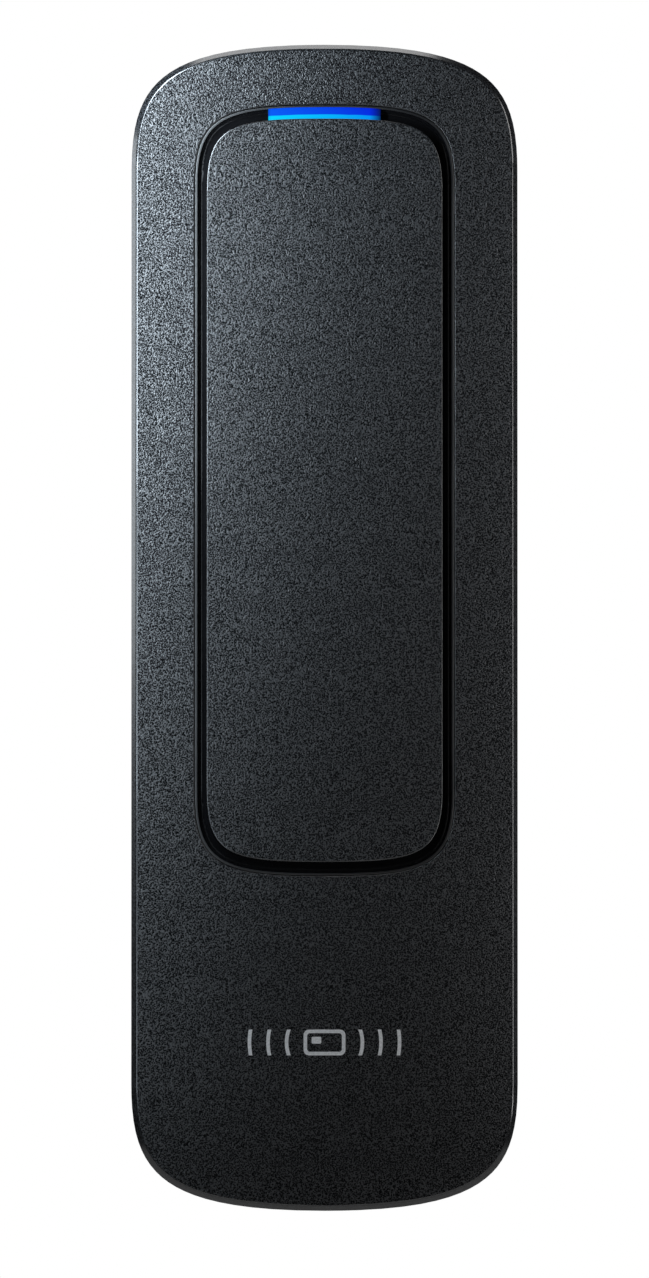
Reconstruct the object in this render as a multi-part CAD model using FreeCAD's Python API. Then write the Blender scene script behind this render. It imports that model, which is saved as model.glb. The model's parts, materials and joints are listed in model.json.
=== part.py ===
"""Mullion-format contactless card reader with its wall bracket, as separate solids.

Frame: millimetres, +Z up, +X to the right of a person facing the reader, front towards -Y.
The origin is the centre of the bracket's flat back, so the wall is the plane y = 0.

The reader is a wedge: its face leans back, so parts that belong to the face are drawn in a
"face frame" (x, depth behind the face, height along the face) and put in place by on_face().
"""

import FreeCAD, Part
from FreeCAD import Placement, Rotation, Vector

import math
import os
from collections import namedtuple

# ---------------------------------------------------------------- driving dimensions
WIDTH = 48.0
HEIGHT = 144.8
DEPTH_BOTTOM = 27.0
DEPTH_TOP = 22.5
WALL_GAP = 0.5  # the skirt stops this far short of the wall

DEPTH_MID = (DEPTH_BOTTOM + DEPTH_TOP) / 2
LEAN_DEG = math.degrees(math.atan((DEPTH_BOTTOM - DEPTH_TOP) / HEIGHT))

# Cutting: a cut runs PAST a surface that it opens, and a boss or a neck runs ROOT into the
# wall that carries it. FAR_AHEAD and BEHIND are planes clear of the rear cover on both sides.
PAST = 1.0
ROOT = 0.1
FAR_AHEAD = -20.0
BEHIND = 1.0

# Front cover
SIDE_DRAFT = 0.05  # the face is this much smaller on each side than the rear rim
RIM_BEVEL = 0.6  # across and deep
RIM_ROUND = 0.35
FACE_WALL = 2.4
SIDE_WALL = 3.0
SKIRT_WALL = 1.5
LEDGE_Y = -6.2  # seat of the rear gasket

# Channel, its insert and the centre panel
CHANNEL_HALF_WIDTH = 16.15
CHANNEL_TOP = 64.9
CHANNEL_BOTTOM = -30.9
CHANNEL_GAP = 1.5  # between the cover and the centre panel, at the sides
CHANNEL_GAP_ENDS = 1.75
CHANNEL_FLOOR = 1.35
OPENING_ROUND = 0.12  # on the cover's opening and on the insert's lip
GUTTER_ROUND = 0.75
INSERT_CLEARANCE = 0.07
INSERT_LIP = 0.36
INSERT_LIP_SETBACK = 0.1
INSERT_FLANGE = 1.6
INSERT_BACK = 3.8
PANEL_THICKNESS = 1.5
PANEL_ROUND = 0.15
PANEL_CLEARANCE = 0.06
ADHESIVE = 0.1
ADHESIVE_MARGIN = 1.5

# Status light
LIGHT_Z = 64.1
LENS_HALF_LENGTH = 6.95
LENS_FACE = 0.5
LENS_CLEARANCE = 0.03
LENS_TO_PANEL = 0.04
LENS_SHOULDER_FRONT = INSERT_BACK + 0.05
LENS_SHOULDER_BACK = 4.4
GUIDE_FRONT = 4.45
GUIDE_BACK = 6.3
LED_FRONT = 6.6
LED_PITCH = 4.6

# Printed symbol, a card with waves on both sides
SYMBOL_Z = -51.5
SYMBOL_HEIGHT = 3.2
SYMBOL_STROKE = 0.45
SYMBOL_CARD_HALF_WIDTH = 2.6
SYMBOL_CARD_ROUND = 0.7
SYMBOL_WAVES = (4.7, 7.0, 9.3)  # radii of the arcs either side of the card
INK = 0.04

# Antenna board, antennas and ferrite, depths behind the face
ANTENNA_BOARD_FRONT = 4.0
ANTENNA_BOARD_BACK = 4.8
ANTENNA_HALF_WIDTH = 15.8
ANTENNA_Z = (-27.5, 60.5)
ANTENNA_CORNER = 4.0
COPPER = 0.07
TRACE_COUNT = 4
TRACE_WIDTH = 0.6
TRACE_PITCH = 1.1
TRACE_MARGIN = 0.8
COIL_HALF_WIDTH = 14.2
COIL_Z = (-24.0, 46.0)
COIL_BAND = 1.8
COIL_CORNER = 6.0
COIL_FRONT = ANTENNA_BOARD_BACK + 0.6
COIL_THICKNESS = 1.6
FORMER_FRONT = ANTENNA_BOARD_BACK + 0.05
FORMER_BACK = ANTENNA_BOARD_BACK + 2.8
FORMER_HUB = 1.8
FORMER_FLANGE = 0.5  # how far its flanges stand out from the winding
FERRITE_HALF_WIDTH = 13.0
FERRITE_Z = (-22.0, 44.0)
FERRITE_FRONT = 7.7
FERRITE_THICKNESS = 0.4

# Main board
BOARD_FRONT = 8.4
BOARD_THICKNESS = 1.6
BOARD_BACK = BOARD_FRONT + BOARD_THICKNESS
BOARD_MARGIN = 1.6  # between the board's edge and the cover's side wall
BOARD_SCREW_X = 14.5
BOARD_SCREW_ZS = (-39.0, -59.0)
BOARD_SCREW_R = 0.8
BOARD_SCREW_LENGTH = 4.0  # below the board's front
BOARD_HEAD_R = 1.8
BOARD_HEAD_H = 1.3
BOARD_HOLE_R = 1.2
BOARD_POST_R = 2.2
BOARD_PILOT_R = 0.85
LEAD_LENGTH = 0.8
LEAD_WIDTH = 0.3
LEAD_THICKNESS = 0.35
HEADER_X = (-14.0, -9.5)
HEADER_Z = (-3.0, 19.0)
HEADER_HEIGHT = 4.2
HEADER_WALL = 0.8
HEADER_PINS = 10
HEADER_PITCH = 2.0
BUZZER_Z = -5.5
BUZZER_R = 6.0
BUZZER_HEIGHT = 5.5
BUZZER_HOLE_R = 1.1

# Rear cover and gasket
GASKET_THICKNESS = 0.8
REAR_INNER_Y = LEDGE_Y + GASKET_THICKNESS
REAR_THICKNESS = 1.9
REAR_OUTER_Y = REAR_INNER_Y + REAR_THICKNESS
REAR_CLEARANCE = 0.15  # between its edge and the skirt
COVER_SCREW_X = 18.2
COVER_SCREW_ZS = (54.0, 4.0, -50.0)
COVER_SCREW_R = 0.95
COVER_SCREW_REACH = 5.0  # below the gasket's seat
COVER_SCREW_CLEARANCE = 0.25
COVER_HEAD_R = 1.9
COVER_HEAD_H = 1.2
SCREW_FOOT_R = 2.5
SCREW_FOOT_DEPTH = 6.0
GASKET_FOOT_R = 2.3
CROSS_WIDTH = 0.44
SOUND_PORT_R = 0.9
MEMBRANE_R = 3.2
MEMBRANE_THICKNESS = 0.25
LABEL_BOX = (-11.0, 11.0, -49.0, -33.0)  # x low, x high, z low, z high
LABEL_RECESS = 0.15
LABEL_MARGIN = 0.1
GROMMET_Z = 9.0
GROMMET_HOLE_R = 4.8
GROMMET_BORE_R = 3.0
GROMMET_FLANGE = 1.3  # how far its two flanges stand out from the hole
GROMMET_FLANGE_HEIGHT = 0.9

# Wall bracket
PLATE_THICKNESS = 3.0
BRACKET_GAP = 0.6  # between the plate's edge and the skirt
LIFT = 5.0  # how far the reader is raised to unhook it
LIFT_MARGIN = 0.3
HOOK_X = 11.0
HOOK_HALF_WIDTH = 2.8
HOOK_NECK = (48.0, 50.5)
HOOK_TIP_Z = 54.5
HOOK_FRONT_Y = -8.0
HOOK_THICKNESS = 2.2
HOOK_CHAMFER = 0.7
HOOK_WINDOW_Z = (HOOK_NECK[0] - LIFT - 0.4, HOOK_NECK[1] + 0.1)
HOOK_ROOM_Z = (HOOK_WINDOW_Z[0], HOOK_TIP_Z + 0.7)
HOOK_ROOM_HALF = HOOK_HALF_WIDTH + 0.5
HOOK_ROOM_FRONT_Y = HOOK_FRONT_Y - 0.6
HOOK_ROOM_WALL = 1.2
SLOT_R = 2.1
SLOT_LENGTH = 8.0
SLOT_SPACINGS = (83.5, 60.0)
SLOT_SINK_R = 4.0
SLOT_SINK_DEPTH = 1.8
CABLE_WINDOW = (-9.0, 9.0, -12.5, 21.5)  # x low, x high, z low, z high
CABLE_WINDOW_CORNER = 4.0
BACK_RECESSES = ((13.0, 19.0, 8.0, 40.0), (8.0, 19.0, -48.0, -30.0))  # as CABLE_WINDOW, right side
BACK_RECESS_DEPTH = 1.0
BACK_RECESS_CORNER = 2.0

# Lock screw, M3 x 12, with a threaded insert in the bracket's lug
LOCK_Y = -6.8
LOCK_SEAT_Z = -70.2
LOCK_SEAT_BACK_Y = -3.2
LOCK_WASHER = 0.5
LOCK_HEAD_H = 1.6
LOCK_HEAD_R = 2.75
LOCK_HEAD_ROUND = 0.9
LOCK_HEAD_CLEARANCE = 0.3
LOCK_R = 1.5
LOCK_LENGTH = 12.0
LOCK_TIP_CHAMFER = 0.4
LOCK_HOLE_R = 1.65
LOCK_END_GAP = 0.02  # between the head, the washer and their seat
SOCKET_DEPTH = 1.0
SOCKET_CORE_R = 0.95
SOCKET_LOBE_R = 0.38
SOCKET_LOBE_CIRCLE = 0.85
SOCKET_PIN_R = 0.3
POCKET_HALF_WIDTH = 6.4
POCKET_Z = (-68.7, -57.5)
POCKET_FRONT_Y = -10.6
POCKET_WALL = 1.8
LUG_HALF_WIDTH = 4.6
LUG_Z = (-63.2, -58.1)
LUG_FRONT_Y = -10.0
LUG_RIB = 1.2
LUG_RIB_FRONT_Y = -5.5
LUG_RIB_HEIGHT = 0.5
INSERT_R = 2.05
INSERT_BORE_R = 1.56
INSERT_END_GAP = 0.1
INSERT_GROOVE_DEPTH = 0.2
INSERT_GROOVE_HALF = 0.5

# Tamper plunger and its switch
TAMPER_X = 12.5
TAMPER_Z = -21.0
TAMPER_R = 1.5
TAMPER_ROUND = 0.6
TAMPER_FLANGE_R = 2.7
TAMPER_FLANGE_Y = (-8.4, -7.6)
TAMPER_REST_Y = -0.1
TAMPER_TIP_Y = -11.0
TAMPER_HOLE_CLEARANCE = 0.2
TAMPER_WINDOW = 2.4  # from its centre to the edge of the bracket's window
TAMPER_WINDOW_CORNER = 1.5
TAMPER_SWITCH_TOP_Y = -11.6
TAMPER_SWITCH_HALF = 3.0
BUTTON_R = 1.2
BUTTON_LENGTH = 3.2
BUTTON_CLEARANCE = 0.05
SPRING_R = 2.1
SPRING_WIRE_R = 0.18
SPRING_TURNS = 4
SPRING_END_GAP = 0.03
SEAL_R = 3.6
SEAL_THICKNESS = 0.5

# ---------------------------------------------------------------- outlines
# A closed outline, upright and symmetric about x = 0: straight sides, and each corner one
# cubic curve from the middle of the end to the side. run is the corner's height, end_lead and
# side_lead are the lengths of the curve's handles along the end and along the side.
Outline = namedtuple("Outline", "half_width low high run end_lead side_lead")

BODY = Outline(WIDTH / 2, -HEIGHT / 2, HEIGHT / 2, 15.7, 20.6, 10.8)
CHANNEL = Outline(CHANNEL_HALF_WIDTH, CHANNEL_BOTTOM, CHANNEL_TOP, 9.7, 11.6, 8.9)
PANEL = Outline(
    CHANNEL_HALF_WIDTH - CHANNEL_GAP,
    CHANNEL_BOTTOM + CHANNEL_GAP_ENDS,
    CHANNEL_TOP - CHANNEL_GAP_ENDS,
    8.9,
    11.6,
    8.2,
)
HANDLE_SHRINK = 0.7  # share of an inset by which the handles shorten


def inset(outline, distance):
    """The outline moved inwards by distance (outwards if it is negative)."""
    return Outline(
        outline.half_width - distance,
        outline.low + distance,
        outline.high - distance,
        outline.run - distance,
        outline.end_lead - HANDLE_SHRINK * distance,
        outline.side_lead - HANDLE_SHRINK * distance,
    )


def corner(outline, side, end):
    """The curve from the middle of one end (+1 top, -1 bottom) to one side (+1 right, -1 left)."""
    z_end = outline.high if end > 0 else outline.low
    z_side = z_end - end * outline.run
    poles = [
        Vector(0, 0, z_end),
        Vector(side * outline.end_lead, 0, z_end),
        Vector(side * outline.half_width, 0, z_side + end * outline.side_lead),
        Vector(side * outline.half_width, 0, z_side),
    ]
    curve = Part.BezierCurve()
    curve.setPoles(poles)
    return curve.toShape()


def wire(outline, depth=0.0):
    """The outline as a closed wire in the plane y = depth."""
    edges = []
    for side, end in ((1, 1), (1, -1), (-1, -1), (-1, 1)):
        edges.append(corner(outline, side, end))
    for side in (1, -1):
        x = side * outline.half_width
        low = Vector(x, 0, outline.low + outline.run)
        high = Vector(x, 0, outline.high - outline.run)
        edges.append(Part.LineSegment(low, high).toShape())
    made = Part.Wire(Part.__sortEdges__(edges))
    made.translate(Vector(0, depth, 0))
    return made


def prism(outline, y_low, y_high):
    """The outline extruded along Y."""
    face = Part.Face(wire(outline, y_low))
    return face.extrude(Vector(0, y_high - y_low, 0))


# ---------------------------------------------------------------- helpers
FACE = Placement(Vector(0, -DEPTH_MID, 0), Rotation(Vector(1, 0, 0), -LEAN_DEG))


def on_face(shape):
    """A shape drawn in the face frame, moved to where the leaning face is."""
    moved = shape.copy()
    moved.Placement = FACE.multiply(moved.Placement)
    return moved


def box(x_low, x_high, y_low, y_high, z_low, z_high):
    size = (x_high - x_low, y_high - y_low, z_high - z_low)
    return Part.makeBox(*size, Vector(x_low, y_low, z_low))


def round_box(x_low, x_high, y_low, y_high, z_low, z_high, radius):
    """A box whose four edges along Y are rounded."""
    made = box(x_low, x_high, y_low, y_high, z_low, z_high)
    edges = [e for e in made.Edges if abs(e.tangentAt(e.FirstParameter).y) > 0.9]
    return made.makeFillet(radius, edges)


def rod_y(x, z, radius, y_low, y_high):
    return Part.makeCylinder(radius, y_high - y_low, Vector(x, y_low, z), Vector(0, 1, 0))


def rod_z(x, y, radius, z_low, z_high):
    return Part.makeCylinder(radius, z_high - z_low, Vector(x, y, z_low))


def slot_y(z, radius, length, y_low, y_high):
    """An upright slot on x = 0, cut along Y; length is end to end."""
    half = length / 2 - radius
    body = box(-radius, radius, y_low, y_high, z - half, z + half)
    for end in (-half, half):
        body = body.fuse(rod_y(0, z + end, radius, y_low, y_high))
    return body.removeSplitter()


def cross_recess(x, z, y_low, y_high):
    """The cross-shaped driver recess of a small screw."""
    half_length = 1.0
    half = CROSS_WIDTH / 2
    bar = box(x - half_length, x + half_length, y_low, y_high, z - half, z + half)
    return bar.fuse(box(x - half, x + half, y_low, y_high, z - half_length, z + half_length))


def join(shapes):
    made = shapes[0]
    if len(shapes) > 1:
        made = made.multiFuse(shapes[1:])
    return made.removeSplitter()


def both_sides(make):
    """make(side) for the right (+1) and the left (-1)."""
    return [make(side) for side in (1, -1)]


def edges_at_depth(shape, depth, tolerance=1e-3):
    """Edges that lie in the plane y = depth."""
    found = []
    for edge in shape.Edges:
        span = edge.BoundBox
        if abs(span.YMin - depth) < tolerance and abs(span.YMax - depth) < tolerance:
            found.append(edge)
    return found


def cover_screw_places():
    return [(side * COVER_SCREW_X, z) for z in COVER_SCREW_ZS for side in (1, -1)]


def board_screw_places():
    return [(side * BOARD_SCREW_X, z) for z in BOARD_SCREW_ZS for side in (1, -1)]


def screw_foot(x, z, radius, y_low, y_high):
    """A post round a cover screw, joined to the side wall by a web."""
    post = rod_y(x, z, radius, y_low, y_high)
    inside_wall = WIDTH / 2 - SIDE_WALL + 2 * ROOT
    x_low, x_high = sorted((x, math.copysign(inside_wall, x)))
    return post.fuse(box(x_low, x_high, y_low, y_high, z - radius, z + radius))


def notch(grow, y_low, y_high):
    """The space of the lock pocket, open at the bottom, grown sideways and upwards."""
    half = POCKET_HALF_WIDTH + grow
    return box(-half, half, y_low, y_high, -HEIGHT, POCKET_Z[1] + grow)


# ---------------------------------------------------------------- front cover
def wedge(outline_back, y_back, outline_front, front_depth):
    """A solid from an outline parallel to the wall to one parallel to the leaning face."""
    back = wire(outline_back, y_back)
    front = on_face(wire(outline_front, front_depth))
    return Part.makeLoft([back, front], True, True)


def cover_blank():
    """The front cover's outside as a solid: the wedge, and the bevel round its leaning face."""
    rim = inset(BODY, SIDE_DRAFT)
    bevel = Part.makeLoft([wire(rim, RIM_BEVEL), wire(inset(rim, RIM_BEVEL), 0)], True, True)
    bevel = bevel.makeFillet(RIM_ROUND, edges_at_depth(bevel, 0))
    return wedge(BODY, -WALL_GAP, rim, RIM_BEVEL).fuse(on_face(bevel))


def cut_channel_opening(cover):
    """Cuts the opening for the channel insert and rounds its front edge."""
    flat = cover.copy()
    flat.Placement = FACE.inverse().multiply(flat.Placement)
    flat = flat.cut(prism(CHANNEL, -PAST, FACE_WALL + PAST))
    slack = 0.1
    lip = []
    for edge in edges_at_depth(flat, 0):
        span = edge.BoundBox
        within_sides = max(-span.XMin, span.XMax) < CHANNEL_HALF_WIDTH + slack
        if within_sides and span.ZMin > CHANNEL_BOTTOM - slack and span.ZMax < CHANNEL_TOP + slack:
            lip.append(edge)
    flat = flat.makeFillet(OPENING_ROUND, lip)
    flat.Placement = FACE.multiply(flat.Placement)
    return flat


def cover_cavity():
    """The hollow inside the cover, less the lock pocket's walls and the cover screws' feet."""
    front_outline = inset(BODY, SIDE_WALL + SIDE_DRAFT)
    cavity = wedge(inset(BODY, SIDE_WALL), LEDGE_Y, front_outline, FACE_WALL)
    cavity = cavity.cut(notch(POCKET_WALL, POCKET_FRONT_Y - POCKET_WALL, LEDGE_Y))
    for x, z in cover_screw_places():
        foot = screw_foot(x, z, SCREW_FOOT_R, LEDGE_Y - SCREW_FOOT_DEPTH, LEDGE_Y + PAST)
        cavity = cavity.cut(foot)
    return cavity


def cut_lock_pocket(cover):
    """Cuts the pocket for the bracket's lug, and the stepped hole of the lock screw below it."""
    half = POCKET_HALF_WIDTH
    cover = cover.cut(box(-half, half, POCKET_FRONT_Y, BEHIND, *POCKET_Z))
    head_room = LOCK_HEAD_R + LOCK_HEAD_CLEARANCE
    cover = cover.cut(rod_z(0, LOCK_Y, head_room, -HEIGHT, LOCK_SEAT_Z))
    return cover.cut(rod_z(0, LOCK_Y, LOCK_HOLE_R, -HEIGHT, POCKET_Z[0] + PAST))


def front_cover():
    cover = cover_blank().cut(cover_cavity())
    skirt_space = prism(inset(BODY, SKIRT_WALL), LEDGE_Y, BEHIND)
    half = LUG_HALF_WIDTH
    lock_seat = box(-half, half, LEDGE_Y, LOCK_SEAT_BACK_Y, -HEIGHT / 2, POCKET_Z[0])
    cover = cover.cut(skirt_space.cut(lock_seat))
    cover = cut_channel_opening(cut_lock_pocket(cover))
    for x, z in board_screw_places():
        post = rod_y(x, z, BOARD_POST_R, FACE_WALL - 2 * ROOT, BOARD_FRONT)
        pilot_end = BOARD_FRONT - BOARD_SCREW_LENGTH - 1.4
        pilot = rod_y(x, z, BOARD_PILOT_R, pilot_end, BOARD_FRONT + PAST)
        cover = cover.fuse(on_face(post)).cut(on_face(pilot))
    for x, z in cover_screw_places():
        pilot_end = LEDGE_Y - COVER_SCREW_REACH - 0.4
        cover = cover.cut(rod_y(x, z, COVER_SCREW_R, pilot_end, LEDGE_Y + ROOT))
    return cover.removeSplitter()


# ---------------------------------------------------------------- face: channel, panel, light
def lens_window(grow, y_low, y_high):
    """The stretch of the channel at its top that the status lens fills."""
    half = LENS_HALF_LENGTH + grow
    reach = 5.0
    slab = box(-half, half, y_low, y_high, LIGHT_Z - reach, LIGHT_Z + reach)
    outer = prism(inset(CHANNEL, INSERT_LIP - grow), y_low, y_high)
    inner = prism(inset(PANEL, -LENS_TO_PANEL), y_low - PAST, y_high + PAST)
    return outer.cut(inner).common(slab)


def channel_insert():
    """The gloss gutter round the centre panel, with a flange behind the cover's face."""
    lip = prism(inset(CHANNEL, INSERT_CLEARANCE), INSERT_LIP_SETBACK, INSERT_BACK)
    lip = lip.makeFillet(OPENING_ROUND, edges_at_depth(lip, INSERT_LIP_SETBACK))
    flange = prism(inset(CHANNEL, -INSERT_FLANGE), FACE_WALL, INSERT_BACK)
    gutter = prism(inset(CHANNEL, INSERT_LIP), -PAST, CHANNEL_FLOOR)
    gutter = gutter.makeFillet(GUTTER_ROUND, edges_at_depth(gutter, CHANNEL_FLOOR))
    seat = prism(inset(PANEL, -PANEL_CLEARANCE), 0, PANEL_THICKNESS + ADHESIVE)
    made = lip.fuse(flange).cut(gutter).cut(seat)
    made = made.cut(lens_window(LENS_CLEARANCE, -PAST, INSERT_BACK + PAST))
    return on_face(made.removeSplitter())


def centre_panel():
    plate = prism(PANEL, 0, PANEL_THICKNESS)
    plate = plate.makeFillet(PANEL_ROUND, edges_at_depth(plate, 0))
    return on_face(plate)


def panel_adhesive():
    pad = prism(inset(PANEL, ADHESIVE_MARGIN), PANEL_THICKNESS, PANEL_THICKNESS + ADHESIVE)
    return on_face(pad)


def light_box(half_length, front, back, below, above, x=0.0):
    """A box round the status light's centre line, in the face frame."""
    return box(x - half_length, x + half_length, front, back, LIGHT_Z - below, LIGHT_Z + above)


def status_lens():
    bar = lens_window(0, LENS_FACE, LENS_SHOULDER_FRONT)
    shoulder = light_box(8.2, LENS_SHOULDER_FRONT, LENS_SHOULDER_BACK, below=1.7, above=1.9)
    return on_face(bar.fuse(shoulder).removeSplitter())


def light_guide():
    return on_face(light_box(6.8, GUIDE_FRONT, GUIDE_BACK, below=1.3, above=1.4))


def light_shroud():
    """A white tube that keeps the light of the diodes in, with the guide inside its front."""
    back = BOARD_FRONT - 0.05
    outside = round_box(-9.6, 9.6, GUIDE_FRONT, back, LIGHT_Z - 2.4, LIGHT_Z + 2.7, radius=1)
    inside = light_box(7.1, GUIDE_FRONT - PAST, back + PAST, below=1.6, above=1.7)
    return on_face(outside.cut(inside))


def status_leds():
    """Three surface-mounted light-emitting diodes on the front of the main board."""
    places = (-LED_PITCH, 0, LED_PITCH)
    return [on_face(light_box(1.4, LED_FRONT, BOARD_FRONT, below=1.3, above=1.5, x=x)) for x in places]


def arc_stroke(radius, side):
    """A stretch of ring centred on the symbol, as tall as the symbol."""
    outer = rod_y(0, SYMBOL_Z, radius + SYMBOL_STROKE / 2, -INK, 0)
    ring = outer.cut(rod_y(0, SYMBOL_Z, radius - SYMBOL_STROKE / 2, -PAST, PAST))
    half = SYMBOL_HEIGHT / 2
    x_low, x_high = sorted((0, side * WIDTH / 2))
    return ring.common(box(x_low, x_high, -PAST, PAST, SYMBOL_Z - half, SYMBOL_Z + half))


def card_symbol():
    """A printed card with waves on both sides: one ring, one chip contact and six arcs of ink."""
    half = SYMBOL_HEIGHT / 2
    low, high = SYMBOL_Z - half, SYMBOL_Z + half
    width, stroke = SYMBOL_CARD_HALF_WIDTH, SYMBOL_STROKE
    ring = round_box(-width, width, -INK, 0, low, high, SYMBOL_CARD_ROUND)
    inner = (-width + stroke, width - stroke, -PAST, PAST, low + stroke, high - stroke)
    ring = ring.cut(round_box(*inner, SYMBOL_CARD_ROUND / 2))
    contact = round_box(-1.6, -0.4, -INK, 0, SYMBOL_Z - 0.15, SYMBOL_Z + 0.7, radius=0.15)
    pieces = [on_face(ring), on_face(contact)]
    for radius in SYMBOL_WAVES:
        pieces += [on_face(arc_stroke(radius, side)) for side in (1, -1)]
    return pieces


# ---------------------------------------------------------------- antennas
def rectangle_ring(half_width, z_low, z_high, band, y_low, y_high, radius):
    """A flat rectangular ring with round corners."""
    outer = round_box(-half_width, half_width, y_low, y_high, z_low, z_high, radius)
    half, low, high = half_width - band, z_low + band, z_high - band
    inner_radius = max(radius - band, 0.3)
    inner = round_box(-half, half, y_low - PAST, y_high + PAST, low, high, inner_radius)
    return outer.cut(inner)


def antenna_board():
    half = ANTENNA_HALF_WIDTH
    span = (ANTENNA_BOARD_FRONT, ANTENNA_BOARD_BACK)
    return on_face(round_box(-half, half, *span, *ANTENNA_Z, ANTENNA_CORNER))


def hf_antenna_loop():
    """The printed turns of the 13.56 MHz antenna, on the front of the antenna board."""
    turns = []
    for turn in range(TRACE_COUNT):
        gap = TRACE_MARGIN + TRACE_PITCH * turn
        ring = rectangle_ring(
            ANTENNA_HALF_WIDTH - gap,
            ANTENNA_Z[0] + gap,
            ANTENNA_Z[1] - gap,
            TRACE_WIDTH,
            ANTENNA_BOARD_FRONT - COPPER,
            ANTENNA_BOARD_FRONT,
            ANTENNA_CORNER - 0.8 * gap,
        )
        turns.append(on_face(ring))
    return turns


def coil_outside(grow):
    """The winding's outside, grown all round: its half width, lowest and highest z."""
    return (COIL_HALF_WIDTH + grow, COIL_Z[0] - grow, COIL_Z[1] + grow)


def lf_antenna_coil():
    """The wound 125 kHz coil, drawn as its bundle of enamelled wire."""
    span = (COIL_FRONT, COIL_FRONT + COIL_THICKNESS)
    return on_face(rectangle_ring(*coil_outside(0), COIL_BAND, *span, COIL_CORNER))


def coil_former():
    """The frame that the coil is wound on: a hub with a flange before and behind the wire."""
    band = COIL_BAND + FORMER_HUB + FORMER_FLANGE
    span = (FORMER_FRONT, FORMER_BACK)
    corner_radius = COIL_CORNER + FORMER_FLANGE
    whole = rectangle_ring(*coil_outside(FORMER_FLANGE), band, *span, corner_radius)
    open_side = 2.0
    clearance = 0.02
    band = COIL_BAND + open_side + clearance
    span = (COIL_FRONT, COIL_FRONT + COIL_THICKNESS)
    groove = rectangle_ring(*coil_outside(open_side), band, *span, COIL_CORNER + open_side)
    return on_face(whole.cut(groove))


def ferrite_sheet():
    half = FERRITE_HALF_WIDTH
    span = (FERRITE_FRONT, FERRITE_FRONT + FERRITE_THICKNESS)
    return on_face(round_box(-half, half, *span, *FERRITE_Z, radius=1))


# ---------------------------------------------------------------- main board
def main_board():
    board = prism(inset(BODY, SIDE_WALL + BOARD_MARGIN), BOARD_FRONT, BOARD_BACK)
    for x, z in board_screw_places():
        board = board.cut(rod_y(x, z, BOARD_HOLE_R, 0, BOARD_BACK + PAST))
    return on_face(board)


def board_screws():
    """Four pan-head screws that hold the main board on the cover's posts."""
    screws = []
    top = BOARD_BACK + BOARD_HEAD_H
    for x, z in board_screw_places():
        shank = rod_y(x, z, BOARD_SCREW_R, BOARD_FRONT - BOARD_SCREW_LENGTH, BOARD_BACK + ROOT)
        head = rod_y(x, z, BOARD_HEAD_R, BOARD_BACK, top)
        recess = cross_recess(x, z, top - 0.6, top + PAST)
        screws.append(on_face(shank.fuse(head).cut(recess).removeSplitter()))
    return screws


def chip(x, z, width, height, thickness):
    """A packaged part standing on the back of the main board."""
    low, high = BOARD_BACK, BOARD_BACK + thickness
    return box(x - width / 2, x + width / 2, low, high, z - height / 2, z + height / 2)


def leads(x, z, width, height, count):
    """Gull-wing leads down both sides of a chip, as one bar for each lead."""
    pitch = height / (count + 1)
    bars = []
    for side in (1, -1):
        edge = x + side * width / 2
        x_low, x_high = sorted((edge, edge + side * LEAD_LENGTH))
        for n in range(count):
            middle = z - height / 2 + (n + 1) * pitch
            low, high = middle - LEAD_WIDTH / 2, middle + LEAD_WIDTH / 2
            bars.append(box(x_low, x_high, BOARD_BACK, BOARD_BACK + LEAD_THICKNESS, low, high))
    return bars


def leaded_chip(x, z, width, height, thickness, count):
    bars = leads(x, z, width, height, count)
    return on_face(join([chip(x, z, width, height, thickness), *bars]))


def microcontroller():
    return leaded_chip(x=-2, z=-40, width=7, height=7, thickness=1.2, count=8)


def rf_transceiver():
    return leaded_chip(x=4, z=34, width=5, height=5, thickness=0.9, count=6)


def line_transceiver():
    return leaded_chip(x=-11, z=-25, width=4, height=5, thickness=1.5, count=4)


def crystal():
    can_height = 1.0
    return on_face(round_box(-9.6, -7.2, BOARD_BACK, BOARD_BACK + can_height, -43.5, -38.5, radius=1.1))


def power_inductor():
    shell_height = 2.8
    return on_face(round_box(5, 11, BOARD_BACK, BOARD_BACK + shell_height, -44, -38, radius=1.2))


def bulk_capacitors():
    """Two electrolytic capacitors, each can on its square base."""
    made = []
    base_height, can_height, z = 0.8, 5.4, -51
    for x in (-11.5, 11.5):
        base = chip(x, z, width=6.6, height=6.6, thickness=base_height)
        can = rod_y(x, z, 3.1, BOARD_BACK + base_height, BOARD_BACK + can_height)
        made.append(on_face(base.fuse(can).removeSplitter()))
    return made


def chip_passives():
    """Small resistors and capacitors: a row above the controller and one below the antenna chip."""
    made = []
    for n in range(6):
        made.append(on_face(chip(-14 + 2.2 * n, -33.5, width=1.0, height=1.8, thickness=0.6)))
        made.append(on_face(chip(-6 + 2.6 * n, 27, width=1.8, height=1.0, thickness=0.6)))
    return made


def wire_header():
    """The ten-way header that the pigtail's wires plug into."""
    wall = HEADER_WALL
    floor = BOARD_BACK + 1
    shell = box(*HEADER_X, BOARD_BACK, BOARD_BACK + HEADER_HEIGHT, *HEADER_Z)
    inner_x = (HEADER_X[0] + wall, HEADER_X[1] - wall)
    inner_z = (HEADER_Z[0] + wall, HEADER_Z[1] - wall)
    made = shell.cut(box(*inner_x, floor, BOARD_BACK + HEADER_HEIGHT + PAST, *inner_z))
    half_pin = 0.25
    x = sum(HEADER_X) / 2
    first = sum(HEADER_Z) / 2 - HEADER_PITCH * (HEADER_PINS - 1) / 2
    pins = []
    for n in range(HEADER_PINS):
        z = first + n * HEADER_PITCH
        ends = (floor - ROOT, BOARD_BACK + HEADER_HEIGHT - 0.4)
        pins.append(box(x - half_pin, x + half_pin, *ends, z - half_pin, z + half_pin))
    return on_face(join([made, *pins]))


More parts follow.
